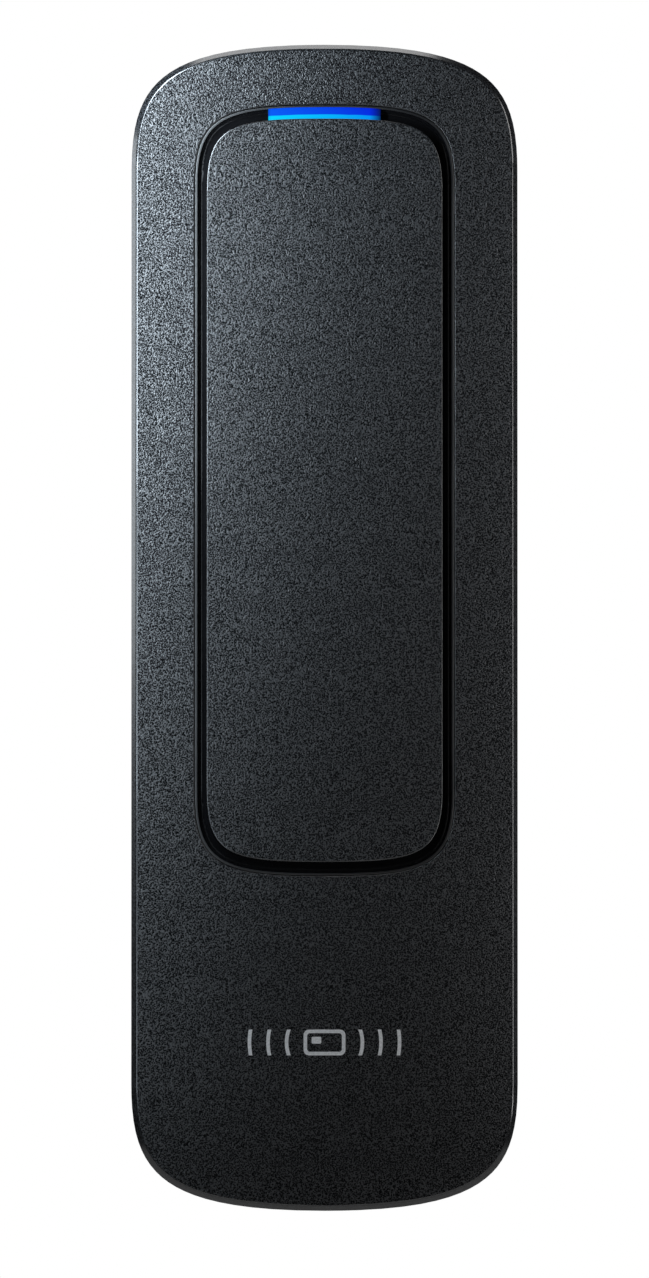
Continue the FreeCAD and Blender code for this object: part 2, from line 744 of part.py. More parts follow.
def buzzer():
    top = BOARD_BACK + BUZZER_HEIGHT
    can = rod_y(0, BUZZER_Z, BUZZER_R, BOARD_BACK, top)
    can = can.makeFillet(0.5, edges_at_depth(can, top))
    hole_depth = 2.5
    return on_face(can.cut(rod_y(0, BUZZER_Z, BUZZER_HOLE_R, top - hole_depth, top + PAST)))


def sound_membrane():
    """The vent patch stuck over the sound port, inside the rear cover."""
    return rod_y(0, BUZZER_Z, MEMBRANE_R, REAR_INNER_Y - MEMBRANE_THICKNESS, REAR_INNER_Y)


# ---------------------------------------------------------------- tamper switch
def tamper_switch():
    """The push switch on the board, upright to the wall, on a foot cut to the board's lean."""
    half = TAMPER_SWITCH_HALF
    x_span = (TAMPER_X - half, TAMPER_X + half)
    z_span = (TAMPER_Z - half, TAMPER_Z + half)
    body = box(*x_span, FAR_AHEAD, TAMPER_SWITCH_TOP_Y, *z_span)
    before_board = on_face(box(-WIDTH, WIDTH, FAR_AHEAD, BOARD_BACK, -HEIGHT, HEIGHT))
    button_end = TAMPER_TIP_Y - BUTTON_LENGTH - 0.1
    bore = rod_y(TAMPER_X, TAMPER_Z, BUTTON_R + BUTTON_CLEARANCE, button_end, 0)
    return body.cut(before_board).cut(bore).removeSplitter()


def switch_button():
    """The tamper switch's own button, held in by the end of the plunger."""
    contact = 0.01
    low = TAMPER_TIP_Y - BUTTON_LENGTH
    return rod_y(TAMPER_X, TAMPER_Z, BUTTON_R, low, TAMPER_TIP_Y - contact)


def tamper_plunger():
    stem = rod_y(TAMPER_X, TAMPER_Z, TAMPER_R, TAMPER_TIP_Y, TAMPER_REST_Y)
    stem = stem.makeFillet(TAMPER_ROUND, edges_at_depth(stem, TAMPER_REST_Y))
    flange = rod_y(TAMPER_X, TAMPER_Z, TAMPER_FLANGE_R, *TAMPER_FLANGE_Y)
    return stem.fuse(flange).removeSplitter()


def tamper_spring():
    """A coil spring round the plunger, from the switch to the plunger's flange."""
    low = TAMPER_SWITCH_TOP_Y + SPRING_WIRE_R + SPRING_END_GAP
    high = TAMPER_FLANGE_Y[0] - SPRING_WIRE_R - SPRING_END_GAP
    path = Part.makeLongHelix((high - low) / SPRING_TURNS, high - low, SPRING_R)
    start = Vector(SPRING_R, 0, 0)
    section = Part.Wire(Part.Circle(start, Vector(0, 1, 0), SPRING_WIRE_R).toShape())
    coil = Part.Wire(path.Edges).makePipeShell([section], True, True)
    coil.rotate(Vector(0, 0, 0), Vector(1, 0, 0), -90)
    coil.translate(Vector(TAMPER_X, low, TAMPER_Z))
    return coil


def tamper_seal():
    """The rubber ring that keeps water out round the plunger."""
    outer = rod_y(TAMPER_X, TAMPER_Z, SEAL_R, REAR_INNER_Y - SEAL_THICKNESS, REAR_INNER_Y)
    sliding_fit = 0.05
    return outer.cut(rod_y(TAMPER_X, TAMPER_Z, TAMPER_R + sliding_fit, FAR_AHEAD, BEHIND))


# ---------------------------------------------------------------- rear cover
def hook_room(side, grow, y_low, y_high, z_range):
    """The space in the rear cover that takes one of the bracket's hooks."""
    half = HOOK_ROOM_HALF + grow
    x = side * HOOK_X
    return box(x - half, x + half, y_low, y_high, z_range[0] - grow, z_range[1] + grow)


def rear_plate():
    """The rear cover's plate with its closed rooms for the hooks."""
    plate = prism(inset(BODY, SKIRT_WALL + REAR_CLEARANCE), REAR_INNER_Y, REAR_OUTER_Y)
    plate = plate.cut(notch(0.1, FAR_AHEAD, BEHIND))
    front = HOOK_ROOM_FRONT_Y - HOOK_ROOM_WALL
    rooms = both_sides(lambda s: hook_room(s, HOOK_ROOM_WALL, front, REAR_INNER_Y, HOOK_ROOM_Z))
    made = join([plate, *rooms])
    for side in (1, -1):
        inner = hook_room(side, 0, HOOK_ROOM_FRONT_Y, REAR_INNER_Y, HOOK_ROOM_Z)
        window = hook_room(side, 0, REAR_INNER_Y - PAST, BEHIND, HOOK_WINDOW_Z)
        made = made.cut(inner.fuse(window))
    return made


def rear_cover():
    made = rear_plate()
    for x, z in cover_screw_places():
        made = made.cut(rod_y(x, z, COVER_SCREW_R + COVER_SCREW_CLEARANCE, FAR_AHEAD, BEHIND))
        sink_floor = REAR_OUTER_Y - COVER_HEAD_H - 0.1
        made = made.cut(rod_y(x, z, COVER_HEAD_R + 0.2, sink_floor, BEHIND))
    made = made.cut(rod_y(0, GROMMET_Z, GROMMET_HOLE_R, FAR_AHEAD, BEHIND))
    plunger_hole_r = TAMPER_R + TAMPER_HOLE_CLEARANCE
    made = made.cut(rod_y(TAMPER_X, TAMPER_Z, plunger_hole_r, FAR_AHEAD, BEHIND))
    made = made.cut(rod_y(0, BUZZER_Z, SOUND_PORT_R, FAR_AHEAD, BEHIND))
    recess_r = GROMMET_HOLE_R + GROMMET_FLANGE + 0.1
    recess_floor = REAR_OUTER_Y - GROMMET_FLANGE_HEIGHT - 0.03
    made = made.cut(rod_y(0, GROMMET_Z, recess_r, recess_floor, BEHIND))
    label_floor = REAR_OUTER_Y - LABEL_RECESS
    label = round_box(*LABEL_BOX[:2], label_floor, BEHIND, *LABEL_BOX[2:], radius=0.8)
    return made.cut(label).removeSplitter()


def rear_gasket():
    """The flat seal between the covers, round the edge, the lock pocket and the screw holes."""
    ring = prism(inset(BODY, SKIRT_WALL + 2 * REAR_CLEARANCE), LEDGE_Y, REAR_INNER_Y)
    ring = ring.cut(notch(0.35, FAR_AHEAD, BEHIND))
    core = prism(inset(BODY, SIDE_WALL - 0.1), LEDGE_Y - PAST, REAR_INNER_Y + PAST)
    ring = ring.cut(core.cut(notch(1.45, FAR_AHEAD, BEHIND)))
    for x, z in cover_screw_places():
        ring = ring.fuse(screw_foot(x, z, GASKET_FOOT_R, LEDGE_Y, REAR_INNER_Y))
    for x, z in cover_screw_places():
        ring = ring.cut(rod_y(x, z, COVER_SCREW_R + COVER_SCREW_CLEARANCE, FAR_AHEAD, BEHIND))
    return ring.removeSplitter()


def cover_screws():
    """Six pan-head screws through the rear cover into the front cover's feet."""
    screws = []
    head_low = REAR_OUTER_Y - COVER_HEAD_H
    for x, z in cover_screw_places():
        shank = rod_y(x, z, COVER_SCREW_R, LEDGE_Y - COVER_SCREW_REACH, head_low + ROOT)
        head = rod_y(x, z, COVER_HEAD_R, head_low, REAR_OUTER_Y - 0.05)
        recess = cross_recess(x, z, REAR_OUTER_Y - 0.7, BEHIND)
        screws.append(shank.fuse(head).cut(recess).removeSplitter())
    return screws


def cable_grommet():
    """A rubber sleeve whose two flanges grip the edge of the hole in the rear cover."""
    flange_r = GROMMET_HOLE_R + GROMMET_FLANGE
    front = REAR_INNER_Y - GROMMET_FLANGE_HEIGHT
    sleeve = rod_y(0, GROMMET_Z, GROMMET_HOLE_R - 0.05, front, REAR_OUTER_Y)
    inner_flange = rod_y(0, GROMMET_Z, flange_r, front, REAR_INNER_Y - 0.02)
    inner_flange = inner_flange.makeFillet(0.4, edges_at_depth(inner_flange, front))
    outer_flange = rod_y(0, GROMMET_Z, flange_r, REAR_OUTER_Y - GROMMET_FLANGE_HEIGHT, REAR_OUTER_Y)
    made = join([sleeve, inner_flange, outer_flange])
    return made.cut(rod_y(0, GROMMET_Z, GROMMET_BORE_R, FAR_AHEAD, BEHIND)).removeSplitter()


def rating_label():
    """A blank foil label in its shallow recess."""
    x_low, x_high, z_low, z_high = LABEL_BOX
    margin = LABEL_MARGIN
    span = (REAR_OUTER_Y - LABEL_RECESS, REAR_OUTER_Y - 0.02)
    sides = (x_low + margin, x_high - margin)
    return round_box(*sides, *span, z_low + margin, z_high - margin, radius=0.7)


# ---------------------------------------------------------------- bracket and lock screw
def bracket_outline():
    """The skirt's inner outline less a gap, its lower end raised by the reader's lift."""
    full = inset(BODY, SKIRT_WALL + BRACKET_GAP)
    return full._replace(low=full.low + LIFT + LIFT_MARGIN)


def hook(side):
    """One of the two upturned hooks that the reader hangs on."""
    x_low, x_high = side * HOOK_X - HOOK_HALF_WIDTH, side * HOOK_X + HOOK_HALF_WIDTH
    neck = box(x_low, x_high, HOOK_FRONT_Y, -PLATE_THICKNESS + ROOT, *HOOK_NECK)
    back = HOOK_FRONT_Y + HOOK_THICKNESS
    tongue = box(x_low, x_high, HOOK_FRONT_Y, back, HOOK_NECK[0], HOOK_TIP_Z)
    at_tip = [e for e in tongue.Edges if e.BoundBox.ZMin > HOOK_TIP_Z - ROOT]
    tips = [e for e in at_tip if e.BoundBox.XLength > 1]
    return neck.fuse(tongue.makeChamfer(HOOK_CHAMFER, tips))


def lug_rib(side):
    """A low web on the lug's upper side, at one of its ends."""
    x_low, x_high = sorted((side * (LUG_HALF_WIDTH - LUG_RIB), side * LUG_HALF_WIDTH))
    z_low, z_high = LUG_Z[1] - ROOT, LUG_Z[1] + LUG_RIB_HEIGHT
    return box(x_low, x_high, LUG_RIB_FRONT_Y, -PLATE_THICKNESS + ROOT, z_low, z_high)


def wall_slots():
    return [side * spacing / 2 for spacing in SLOT_SPACINGS for side in (1, -1)]


def cut_wall_slots(made):
    """Cuts the four screw slots and the sinks of their heads."""
    front = -PLATE_THICKNESS
    sink_length = SLOT_LENGTH + 2 * (SLOT_SINK_R - SLOT_R)
    for z in wall_slots():
        made = made.cut(slot_y(z, SLOT_R, SLOT_LENGTH, front - PAST, BEHIND))
        sink = slot_y(z, SLOT_SINK_R, sink_length, front - PAST, front + SLOT_SINK_DEPTH)
        made = made.cut(sink)
    return made


def cut_plunger_window(made):
    """Cuts the window for the tamper plunger, tall enough for the lift."""
    reach = TAMPER_WINDOW
    x_span = (TAMPER_X - reach, TAMPER_X + reach)
    y_span = (-PLATE_THICKNESS - PAST, BEHIND)
    z_span = (TAMPER_Z - reach, TAMPER_Z + LIFT + reach)
    return made.cut(round_box(*x_span, *y_span, *z_span, TAMPER_WINDOW_CORNER))


def cut_back_recesses(made):
    """Cuts the shallow recesses in the back that lighten the plate."""
    for side in (1, -1):
        for near, far, z_low, z_high in BACK_RECESSES:
            x_low, x_high = sorted((side * near, side * far))
            block = (x_low, x_high, -BACK_RECESS_DEPTH, BEHIND, z_low, z_high)
            made = made.cut(round_box(*block, BACK_RECESS_CORNER))
    return made


def wall_bracket():
    plate = prism(bracket_outline(), -PLATE_THICKNESS, 0)
    half = LUG_HALF_WIDTH
    lug = box(-half, half, LUG_FRONT_Y, -PLATE_THICKNESS + ROOT, *LUG_Z)
    made = join([plate, lug, *both_sides(lug_rib), *both_sides(hook)])
    x_low, x_high, z_low, z_high = CABLE_WINDOW
    window = (x_low, x_high, -PLATE_THICKNESS - PAST, BEHIND, z_low, z_high)
    made = made.cut(round_box(*window, CABLE_WINDOW_CORNER))
    made = cut_back_recesses(cut_plunger_window(cut_wall_slots(made)))
    return made.cut(rod_z(0, LOCK_Y, INSERT_R, -HEIGHT, LUG_Z[1] + PAST)).removeSplitter()


def bracket_insert():
    """The brass threaded insert in the bracket's lug, with a groove round its middle."""
    low, high = LUG_Z[0] + INSERT_END_GAP, LUG_Z[1] - INSERT_END_GAP
    sleeve = rod_z(0, LOCK_Y, INSERT_R, low, high)
    middle = (low + high) / 2
    groove_span = (middle - INSERT_GROOVE_HALF, middle + INSERT_GROOVE_HALF)
    groove = rod_z(0, LOCK_Y, INSERT_R + PAST, *groove_span)
    groove = groove.cut(rod_z(0, LOCK_Y, INSERT_R - INSERT_GROOVE_DEPTH, *groove_span))
    return sleeve.cut(groove).cut(rod_z(0, LOCK_Y, INSERT_BORE_R, -HEIGHT, 0))


def lock_washer():
    span = (LOCK_SEAT_Z - LOCK_WASHER, LOCK_SEAT_Z - LOCK_END_GAP)
    ring = rod_z(0, LOCK_Y, LOCK_HEAD_R - 0.1, *span)
    return ring.cut(rod_z(0, LOCK_Y, LOCK_R + 0.1, -HEIGHT, 0))


def six_lobe_socket(z_low, z_high):
    """A star-shaped driver socket with a pin in its middle, on the Z axis."""
    core = rod_z(0, 0, SOCKET_CORE_R, z_low, z_high)
    for n in range(6):
        angle = math.radians(60 * n)
        x, y = SOCKET_LOBE_CIRCLE * math.cos(angle), SOCKET_LOBE_CIRCLE * math.sin(angle)
        core = core.fuse(rod_z(x, y, SOCKET_LOBE_R, z_low, z_high))
    return core.removeSplitter().cut(rod_z(0, 0, SOCKET_PIN_R, z_low, z_high))


def lock_screw():
    seat = LOCK_SEAT_Z - LOCK_WASHER - LOCK_END_GAP
    tip_z = seat + LOCK_LENGTH
    end_z = seat - LOCK_HEAD_H
    shank = rod_z(0, 0, LOCK_R, seat - ROOT, tip_z)
    tip = [e for e in shank.Edges if e.BoundBox.ZMin > tip_z - ROOT]
    shank = shank.makeChamfer(LOCK_TIP_CHAMFER, tip)
    head = rod_z(0, 0, LOCK_HEAD_R, end_z, seat)
    rim = [e for e in head.Edges if e.BoundBox.ZMax < end_z + ROOT]
    head = head.makeFillet(LOCK_HEAD_ROUND, rim)
    made = shank.fuse(head).removeSplitter()
    made = made.cut(six_lobe_socket(end_z - PAST, end_z + SOCKET_DEPTH))
    made.translate(Vector(0, LOCK_Y, 0))
    return made


# ---------------------------------------------------------------- write the parts
NODES = (
    front_cover,
    channel_insert,
    centre_panel,
    panel_adhesive,
    status_lens,
    light_guide,
    light_shroud,
    status_leds,
    card_symbol,
    antenna_board,
    hf_antenna_loop,
    lf_antenna_coil,
    coil_former,
    ferrite_sheet,
    main_board,
    board_screws,
    microcontroller,
    rf_transceiver,
    line_transceiver,
    crystal,
    power_inductor,
    bulk_capacitors,
    chip_passives,
    wire_header,
    buzzer,
    sound_membrane,
    tamper_switch,
    switch_button,
    tamper_plunger,
    tamper_spring,
    tamper_seal,
    rear_cover,
    rear_gasket,
    cover_screws,
    cable_grommet,
    rating_label,
    wall_bracket,
    bracket_insert,
    lock_washer,
    lock_screw,
)


def main():
    os.makedirs("parts", exist_ok=True)
    for make in NODES:
        made = make()
        shape = Part.makeCompound(made) if isinstance(made, list) else made
        solids = shape.Solids
        valid = all(s.isValid() and s.Volume > 0 for s in solids)
        size = shape.BoundBox
        print(
            f"{make.__name__:18s} solids {len(solids):2d} valid {valid} volume {shape.Volume:9.2f}"
            f"  x {size.XMin:7.2f} {size.XMax:7.2f}  y {size.YMin:7.2f} {size.YMax:7.2f}"
            f"  z {size.ZMin:7.2f} {size.ZMax:7.2f}"
        )
        shape.exportStep(f"parts/{make.__name__}.step")


main()
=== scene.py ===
"""Studio picture of a mullion-format card reader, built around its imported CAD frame.

Metres throughout, in the CAD's frame: +Z up, the reader's face towards -Y, the wall plane at y = 0.
"""

import json
import math
from functools import partial

import bpy
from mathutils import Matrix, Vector


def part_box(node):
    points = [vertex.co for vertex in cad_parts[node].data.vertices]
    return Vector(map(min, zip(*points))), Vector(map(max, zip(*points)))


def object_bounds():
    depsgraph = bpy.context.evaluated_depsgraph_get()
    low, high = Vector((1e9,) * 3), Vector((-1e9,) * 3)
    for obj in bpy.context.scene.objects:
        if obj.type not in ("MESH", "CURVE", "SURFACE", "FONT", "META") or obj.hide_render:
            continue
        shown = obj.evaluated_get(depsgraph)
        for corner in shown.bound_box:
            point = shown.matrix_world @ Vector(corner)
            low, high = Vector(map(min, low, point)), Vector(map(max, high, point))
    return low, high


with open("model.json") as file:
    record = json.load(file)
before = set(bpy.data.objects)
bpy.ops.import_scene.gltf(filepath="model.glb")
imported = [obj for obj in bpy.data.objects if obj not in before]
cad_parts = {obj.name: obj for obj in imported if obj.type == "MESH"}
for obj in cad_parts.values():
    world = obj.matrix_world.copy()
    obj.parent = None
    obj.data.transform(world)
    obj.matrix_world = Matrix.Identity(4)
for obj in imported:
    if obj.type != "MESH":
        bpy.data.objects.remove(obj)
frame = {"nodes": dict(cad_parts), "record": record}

CAD_LOW, CAD_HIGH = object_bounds()
NODES = frame["nodes"]
MM = 0.001


# ---------------------------------------------------------------- node graphs
class Graph:
    """One material and the few node patterns that all of them use."""

    def __init__(self, name, roughness=0.5, metallic=0.0, specular=0.5):
        self.material = bpy.data.materials.new(name)
        self.material.use_nodes = True
        self.tree = self.material.node_tree
        self.shader = self.tree.nodes["Principled BSDF"]
        self.set("Roughness", roughness)
        self.set("Metallic", metallic)
        self.set("Specular IOR Level", specular)
        self.place = self.add("ShaderNodeTexCoord").outputs["Object"]

    def set(self, socket, value):
        self.shader.inputs[socket].default_value = value

    def drive(self, socket, source):
        """The shader's socket follows another node's output."""
        self.link(source, self.shader.inputs[socket])

    def add(self, kind, **settings):
        node = self.tree.nodes.new(kind)
        for name, value in settings.items():
            setattr(node, name, value)
        return node

    def link(self, source, target):
        self.tree.links.new(source, target)

    def stretched(self, x, y, z):
        """The object's coordinates, each multiplied by a factor."""
        node = self.add("ShaderNodeMapping")
        node.inputs["Scale"].default_value = (x, y, z)
        self.link(self.place, node.inputs["Vector"])
        return node.outputs["Vector"]

    def noise(self, feature, detail=2.0, roughness=0.5, where=None):
        """Noise whose features are about this many metres across."""
        node = self.add("ShaderNodeTexNoise")
        node.inputs["Scale"].default_value = 1 / feature
        node.inputs["Detail"].default_value = detail
        node.inputs["Roughness"].default_value = roughness
        self.link(where or self.place, node.inputs["Vector"])
        return node.outputs["Fac"]

    def cells(self, feature, kind="F1"):
        """Distance inside cells that are about this many metres apart."""
        node = self.add("ShaderNodeTexVoronoi", feature=kind)
        node.inputs["Scale"].default_value = 1 / feature
        self.link(self.place, node.inputs["Vector"])
        return node.outputs["Distance"]

    def math(self, operation, first, second=0.0):
        """Arithmetic on two values, each a number or a socket."""
        node = self.add("ShaderNodeMath", operation=operation)
        for socket, value in zip(node.inputs, (first, second)):
            if isinstance(value, (int, float)):
                socket.default_value = value
            else:
                self.link(value, socket)
        return node.outputs[0]

    def remap(self, source, low, high, to_low=0.0, to_high=1.0):
        """A straight line from (low, to_low) to (high, to_high), level beyond both ends."""
        node = self.add("ShaderNodeMapRange", clamp=True)
        self.link(source, node.inputs["Value"])
        for name, value in (
            ("From Min", low),
            ("From Max", high),
            ("To Min", to_low),
            ("To Max", to_high),
        ):
            node.inputs[name].default_value = value
        return node.outputs["Result"]

    def blend(self, factor, first, second):
        """A colour between two, by the factor. Each is a colour or a socket."""
        node = self.add("ShaderNodeMix", data_type="RGBA")
        self.link(factor, node.inputs["Factor"])
        for name, value in (("A", first), ("B", second)):
            socket = [s for s in node.inputs if s.name == name and s.type == "RGBA"][0]
            if isinstance(value, tuple):
                socket.default_value = (*value, 1)
            else:
                self.link(value, socket)
        return [s for s in node.outputs if s.type == "RGBA"][0]

    def colour(self, source):
        """The base colour: a colour or a socket."""
        if isinstance(source, tuple):
            self.set("Base Color", (*source, 1))
        else:
            self.drive("Base Color", source)

    def bump(self, height, depth, before=None):
        """Relief of this depth in metres; before is an earlier bump's normal."""
        node = self.add("ShaderNodeBump")
        node.inputs["Distance"].default_value = depth
        self.link(height, node.inputs["Height"])
        if before is not None:
            self.link(before, node.inputs["Normal"])
        self.drive("Normal", node.outputs["Normal"])
        return node.outputs["Normal"]


def shaded(colour, factor):
    return tuple(factor * c for c in colour)


# ---------------------------------------------------------------- the face's plane
FACE_SETBACK = 4.5 * MM  # the top of the leaning face is this much nearer the wall than its foot
LEAN = math.atan(FACE_SETBACK / (CAD_HIGH[2] - CAD_LOW[2]))
FACE_NORMAL = (0.0, -math.cos(LEAN), math.sin(LEAN))
FLAT_COSINE, TURNED_COSINE = 0.9999, 0.998  # between a surface's normal and the face's


def along_face_normal(g, vector):
    dot = g.add("ShaderNodeVectorMath", operation="DOT_PRODUCT")
    dot.inputs[1].default_value = FACE_NORMAL
    g.link(vector, dot.inputs[0])
    return dot.outputs["Value"]


def near_face(g, depth):
    """1 within four fifths of this depth of the face's plane, 0 past the whole of it."""
    low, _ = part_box("centre_panel")
    plane = math.sin(LEAN) * low.z - math.cos(LEAN) * low.y
    return g.remap(along_face_normal(g, g.place), plane - depth, plane - 0.8 * depth)


def turned_edge(g, depth):
    """1 on rounds and bevels close to the face, 0 on the flat and further back."""
    normal = g.add("ShaderNodeTexCoord").outputs["Normal"]
    turned = g.remap(along_face_normal(g, normal), TURNED_COSINE, FLAT_COSINE, 1.0, 0.0)
    return g.math("MULTIPLY", turned, near_face(g, depth))


# ---------------------------------------------------------------- materials of the face
# They have their own colours, and leave the record's unused.
BLACK_PLASTIC = (0.0135, 0.0142, 0.0155)
PEBBLE = 0.195 * MM
PEBBLE_NOISE = 0.155 * MM
PEBBLE_RELIEF = 0.076 * MM
PIT_LEVEL, CROWN_LEVEL = 0.49, 0.75  # heights at which the grain's painted shade is deepest and its painted highlight brightest
EDGE_SHINE = 0.95
RIM_DEPTH = 1.2 * MM  # the rim and its bevel end this far behind the face's plane
LIP_DEPTH = 0.3 * MM


def pebble_height(g):
    """The spark-eroded grain of the mould: fine pebbles, about a fifth of a millimetre apart."""
    pebbles = g.cells(PEBBLE)
    uneven = g.noise(PEBBLE_NOISE, detail=0.0)
    return g.math("ADD", g.math("MULTIPLY", pebbles, 0.7), g.math("MULTIPLY", uneven, 0.5))


def pebbled_plastic(name, _):
    """Matt and grained, with painted shade in the grain's pits and painted highlight on its crowns, but
    smooth and shiny on the rim and the other edges of the face.
    """
    g = Graph(name)
    edge = turned_edge(g, RIM_DEPTH)
    grained = g.math("SUBTRACT", 1.0, edge)
    pebbles = pebble_height(g)
    level = g.remap(pebbles, PIT_LEVEL, CROWN_LEVEL)
    # The pits' darker colour is painted shade and the crowns' lighter colour is painted highlight, both
    # scaled from the black plastic.
    pit_painted_shade, crown_painted_highlight = shaded(BLACK_PLASTIC, 0.35), shaded(BLACK_PLASTIC, 2.2)
    g.colour(g.blend(level, pit_painted_shade, crown_painted_highlight))
    # Lower shine in the pits is painted shade of the grain's hollows; the smooth edges get a raised shine.
    shine = g.math("ADD", g.math("MULTIPLY", level, grained), g.math("MULTIPLY", edge, EDGE_SHINE))
    g.drive("Specular IOR Level", shine)
    g.drive("Roughness", g.remap(grained, 0.0, 1.0, 0.2, 0.4))
    g.bump(g.math("MULTIPLY", pebbles, grained), PEBBLE_RELIEF)
    return g.material


def gloss_black(name, _):
    """Gloss black in the channel, and satin on the thin lip that comes up beside the cover."""
    g = Graph(name)
    smears = g.noise(6 * MM, detail=4, roughness=0.6)
    g.colour(g.blend(smears, (0.004, 0.004, 0.0045), (0.007, 0.007, 0.008)))
    lip = near_face(g, LIP_DEPTH)
    gloss = g.remap(smears, 0.3, 0.7, 0.07, 0.16)
    g.drive("Roughness", g.math("ADD", gloss, g.math("MULTIPLY", lip, 0.3)))
    g.drive("Specular IOR Level", g.remap(lip, 0.0, 1.0, 0.5, 1.0))
    g.bump(g.noise(1.2 * MM, detail=2), 0.002 * MM)
    return g.material


LENS_LOW, LENS_HIGH = 63.15 * MM, 64.5 * MM  # what shows of the bar at its middle
LENS_RISE = 0.22 * MM  # its middle stands this much above its ends
LENS_HALF = 6.95 * MM
CYAN_LEFT, CYAN_RIGHT = (0.0, 0.66, 0.93), (0.0, 0.26, 0.86)
BLUE_LEFT, BLUE_RIGHT = (0.0, 0.09, 0.8), (0.0, 0.009, 0.67)


def lit_lens(name, _):
    """A clear bar lit from behind: blue with a cyan band below, greener at the left, fading at the right."""
    g = Graph(name, roughness=0.12)
    g.colour((0.002, 0.01, 0.06))
    split = g.add("ShaderNodeSeparateXYZ")
    g.link(g.place, split.inputs[0])
    x = split.outputs["X"]
    sag = g.math("MULTIPLY", g.math("MULTIPLY", x, x), LENS_RISE / LENS_HALF**2)
    up = g.remap(g.math("ADD", split.outputs["Z"], sag), LENS_LOW, LENS_HIGH)
    along = g.remap(x, -LENS_HALF, LENS_HALF)
    ripple = g.noise(2.5 * MM, detail=2, where=g.stretched(1, 0.1, 0.3))
    band = g.remap(g.math("ADD", up, g.math("MULTIPLY", ripple, 0.08)), 0.36, 0.44)
    cyan = g.blend(along, CYAN_LEFT, CYAN_RIGHT)
    blue = g.blend(along, BLUE_LEFT, BLUE_RIGHT)
    g.drive("Emission Color", g.blend(band, cyan, blue))
    right = g.remap(x, 5.6 * MM, 6.9 * MM, 1.0, 0.08)
    left = g.remap(x, -7.0 * MM, -6.6 * MM, 0.75, 1.0)
    g.drive("Emission Strength", g.math("MULTIPLY", right, left))
    return g.material


def symbol_ink(name, _):
    """Pale print that follows the grain below it."""
    g = Graph(name, roughness=0.55)
    grain = g.noise(0.3 * MM, detail=3, roughness=0.7)
    g.colour(g.blend(g.remap(grain, 0.35, 0.65), (0.62, 0.62, 0.63), (0.85, 0.85, 0.86)))
    g.bump(pebble_height(g), 0.03 * MM)
    return g.material


# ---------------------------------------------------------------- materials of the other pieces
def plain_plastic(name, colour, roughness=0.45, grain=0.25 * MM, depth=0.012 * MM):
    """Moulded plastic with a fine grain and a little mottling."""
    g = Graph(name, roughness=roughness)
    mottled = g.noise(2.2 * MM, detail=4, roughness=0.6)
    g.colour(g.blend(g.remap(mottled, 0.3, 0.7), shaded(colour, 0.78), colour))
    g.drive("Roughness", g.remap(g.noise(0.8 * MM), 0.3, 0.7, roughness - 0.07, roughness + 0.07))
    g.bump(g.noise(grain, detail=2), depth)
    return g.material


def rubber(name, colour):
    """Dull rubber with a faint bloom."""
    g = Graph(name, roughness=0.72, specular=0.35)
    bloom = g.noise(1.6 * MM, detail=5, roughness=0.65)
    g.colour(g.blend(g.remap(bloom, 0.35, 0.75), colour, shaded(colour, 1.7)))
    g.drive("Roughness", g.remap(bloom, 0.3, 0.7, 0.62, 0.82))
    g.bump(g.noise(0.12 * MM, detail=3), 0.01 * MM)
    return g.material


def metal(name, colour, roughness=0.3, along=(1, 1, 1), scratch=0.15 * MM, depth=0.004 * MM):
    """Metal with fine marks; along stretches them, and a small factor means a long mark."""
    g = Graph(name, roughness=roughness, metallic=1.0)
    marks = g.noise(scratch, detail=3, where=g.stretched(*along))
    tarnish = g.noise(1.8 * MM, detail=4)
    g.colour(g.blend(g.remap(tarnish, 0.35, 0.75), colour, shaded(colour, 0.7)))
    g.drive("Roughness", g.remap(marks, 0.3, 0.7, roughness - 0.1, roughness + 0.12))
    g.bump(marks, depth)
    return g.material


def circuit_board(name, colour):
    """Green lacquer over copper: lighter tracks and vias show through it."""
    g = Graph(name, roughness=0.3)
    tracks = g.remap(g.cells(2.6 * MM, kind="DISTANCE_TO_EDGE"), 0.03, 0.05, 1, 0)
    vias = g.remap(g.cells(1.7 * MM), 0.12, 0.16, 1, 0)
    copper_below = g.math("MAXIMUM", tracks, vias)
    cloudy = g.blend(g.noise(4 * MM, detail=3), shaded(colour, 0.8), colour)
    g.colour(g.blend(copper_below, cloudy, shaded(colour, 1.6)))
    g.drive("Roughness", g.remap(copper_below, 0, 1, 0.34, 0.24))
    g.bump(copper_below, 0.03 * MM)
    return g.material


def wound_wire(name, colour):
    """Enamelled copper wire laid side by side round the winding."""
    g = Graph(name, roughness=0.28, metallic=1.0)
    layers = g.noise(0.16 * MM, detail=1, where=g.stretched(1, 1, 0.02))
    lacquer = g.noise(3 * MM, detail=3)
    g.colour(g.blend(g.remap(lacquer, 0.3, 0.7), colour, (0.5, 0.16, 0.07)))
    g.drive("Roughness", g.remap(layers, 0.3, 0.7, 0.2, 0.42))
    g.set("Coat Weight", 0.6)
    g.bump(layers, 0.05 * MM)
    return g.material


def speckled(name, colour, roughness=0.6, fleck=0.12 * MM, contrast=1.8):
    """A pressed or cast black body: fine flecks in a dull ground."""
    g = Graph(name, roughness=roughness)
    flecks = g.noise(fleck, detail=4, roughness=0.7)
    g.colour(g.blend(g.remap(flecks, 0.5, 0.72), colour, shaded(colour, contrast)))
    g.drive("Roughness", g.remap(flecks, 0.3, 0.7, roughness - 0.1, roughness + 0.1))
    g.bump(flecks, 0.008 * MM)
    return g.material


